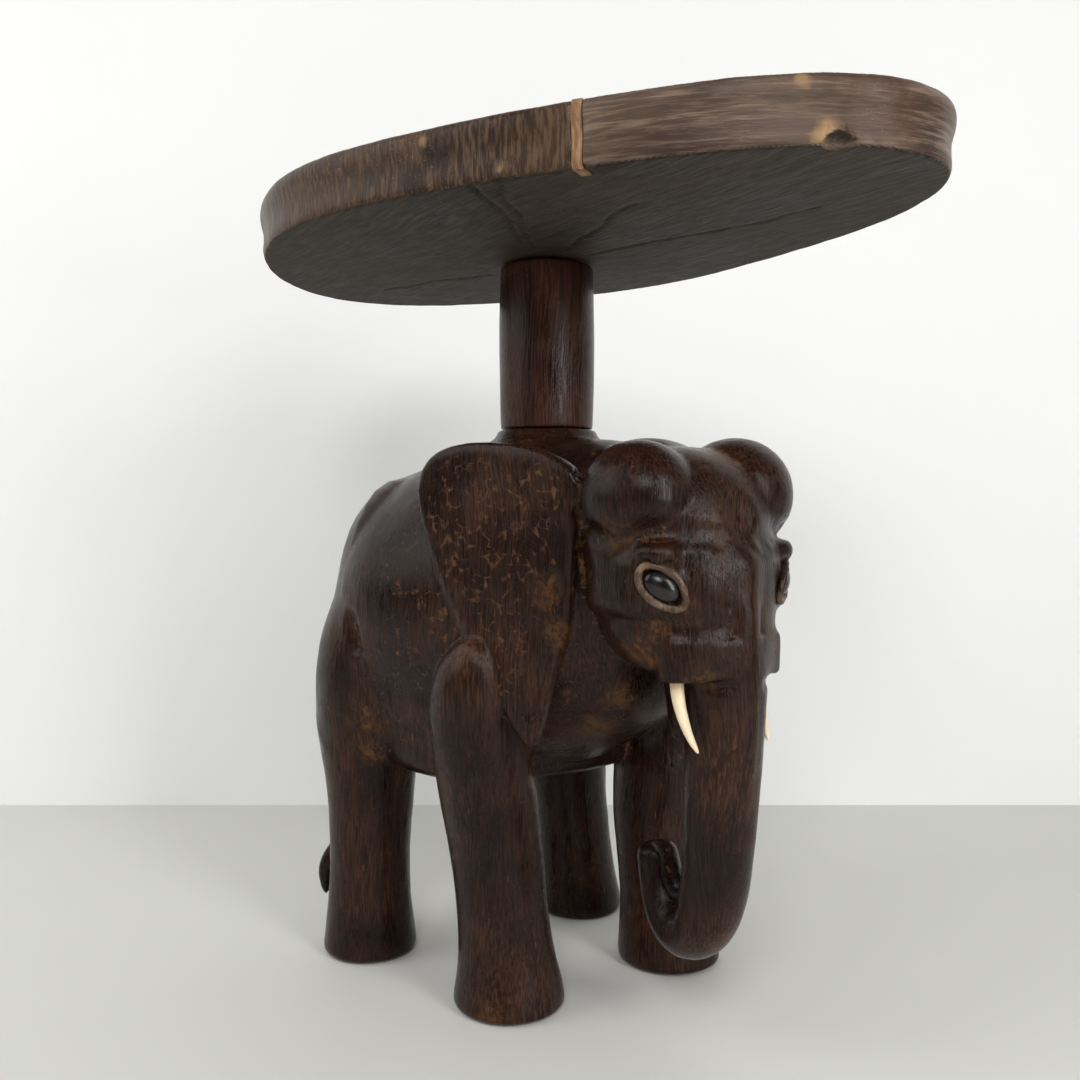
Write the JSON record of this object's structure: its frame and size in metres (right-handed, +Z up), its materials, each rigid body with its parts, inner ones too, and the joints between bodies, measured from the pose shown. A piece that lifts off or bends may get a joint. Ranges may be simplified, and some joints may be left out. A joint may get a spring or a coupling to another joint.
{
  "type": "pedestal side table",
  "caption": "Low side table: a carved wooden elephant carries a round post and an irregular oval wooden board.",
  "frame": {"origin": "on the floor, under the middle of the box around the whole table", "axes": "+Z up; +X the way the elephant looks and along the board; +Y the elephant's left side"},
  "size_m": [0.4422, 0.2774, 0.4585],
  "materials": {
    "carved_wood": "dark stained hardwood, waxed and polished to a soft gloss",
    "post_wood": "dark stained hardwood, turned and polished",
    "board_wood": "dark stained hardwood, polished rim, rough tooled underside",
    "filler_wood": "lighter filler, unpolished",
    "tusk": "cream bone, polished",
    "eye": "black, glossy",
    "dowel_wood": "plain turned beech"
  },
  "bodies": {
    "root": {"elephant_carving": "carved_wood", "post": "post_wood", "top_board": "board_wood", "rim_filler": "filler_wood", "tusk_right": "tusk", "tusk_left": "tusk", "eye_right": "eye", "eye_left": "eye", "base_dowel": "dowel_wood", "top_dowel": "dowel_wood"}
  },
  "joints": []
}
